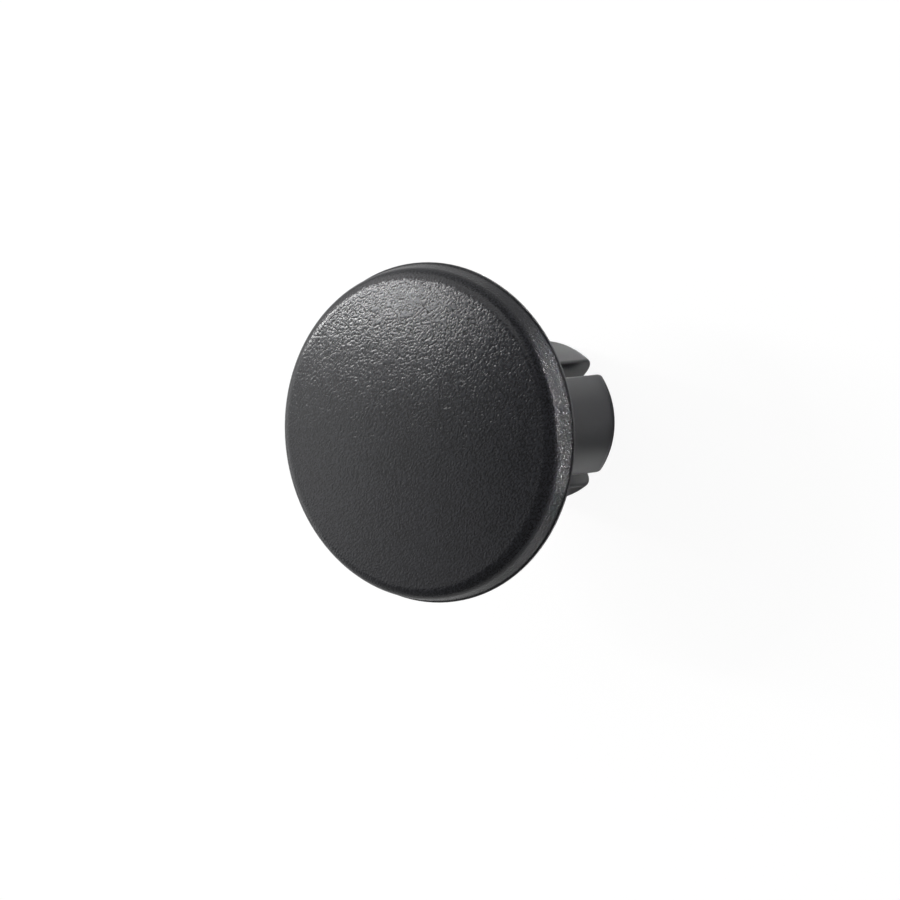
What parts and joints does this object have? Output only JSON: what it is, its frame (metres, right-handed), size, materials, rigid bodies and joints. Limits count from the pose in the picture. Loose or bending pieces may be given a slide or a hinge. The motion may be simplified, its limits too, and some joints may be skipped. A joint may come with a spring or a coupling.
{
  "type": "hole plug",
  "caption": "Push-in hole plug with a crowned round head and a hollow split stem whose prongs grip the hole.",
  "frame": {"origin": "on the stem's axis, in the plane of the rim that seats on the panel", "axes": "+Z out of the head's face along the stem's axis; +X through the middle of a prong"},
  "size_m": [0.03, 0.03, 0.0237],
  "materials": {
    "black_plastic": "fine mould grain on the head, plain satin on the stem"
  },
  "bodies": {
    "root": {"plug": "black_plastic"}
  },
  "joints": []
}
